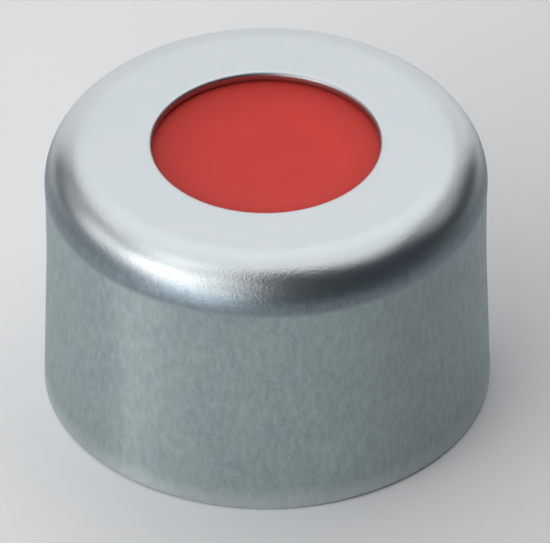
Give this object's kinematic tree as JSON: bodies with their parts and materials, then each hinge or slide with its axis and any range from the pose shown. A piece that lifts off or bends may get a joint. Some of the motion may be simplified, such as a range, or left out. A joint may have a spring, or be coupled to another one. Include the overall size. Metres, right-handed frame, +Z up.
{
  "type": "crimp vial cap",
  "caption": "Drawn aluminium crimp cap with rounded shoulder, open skirt and punched needle hole, holding a flat red rubber septum for a small sample vial.",
  "frame": {"origin": "centre of the circle on which the skirt's foot stands", "axes": "+Z up along the cap's axis, from the open foot to the plate; the cap is round, so +X and +Y are free"},
  "size_m": [0.0088, 0.0086, 0.0056],
  "materials": {
    "aluminium_shell": "satin, drawn and trimmed, with a fine grain",
    "septum_rubber": "matt, smooth moulded sheet"
  },
  "bodies": {
    "root": {"crimp_shell": "aluminium_shell", "septum": "septum_rubber"}
  },
  "joints": []
}
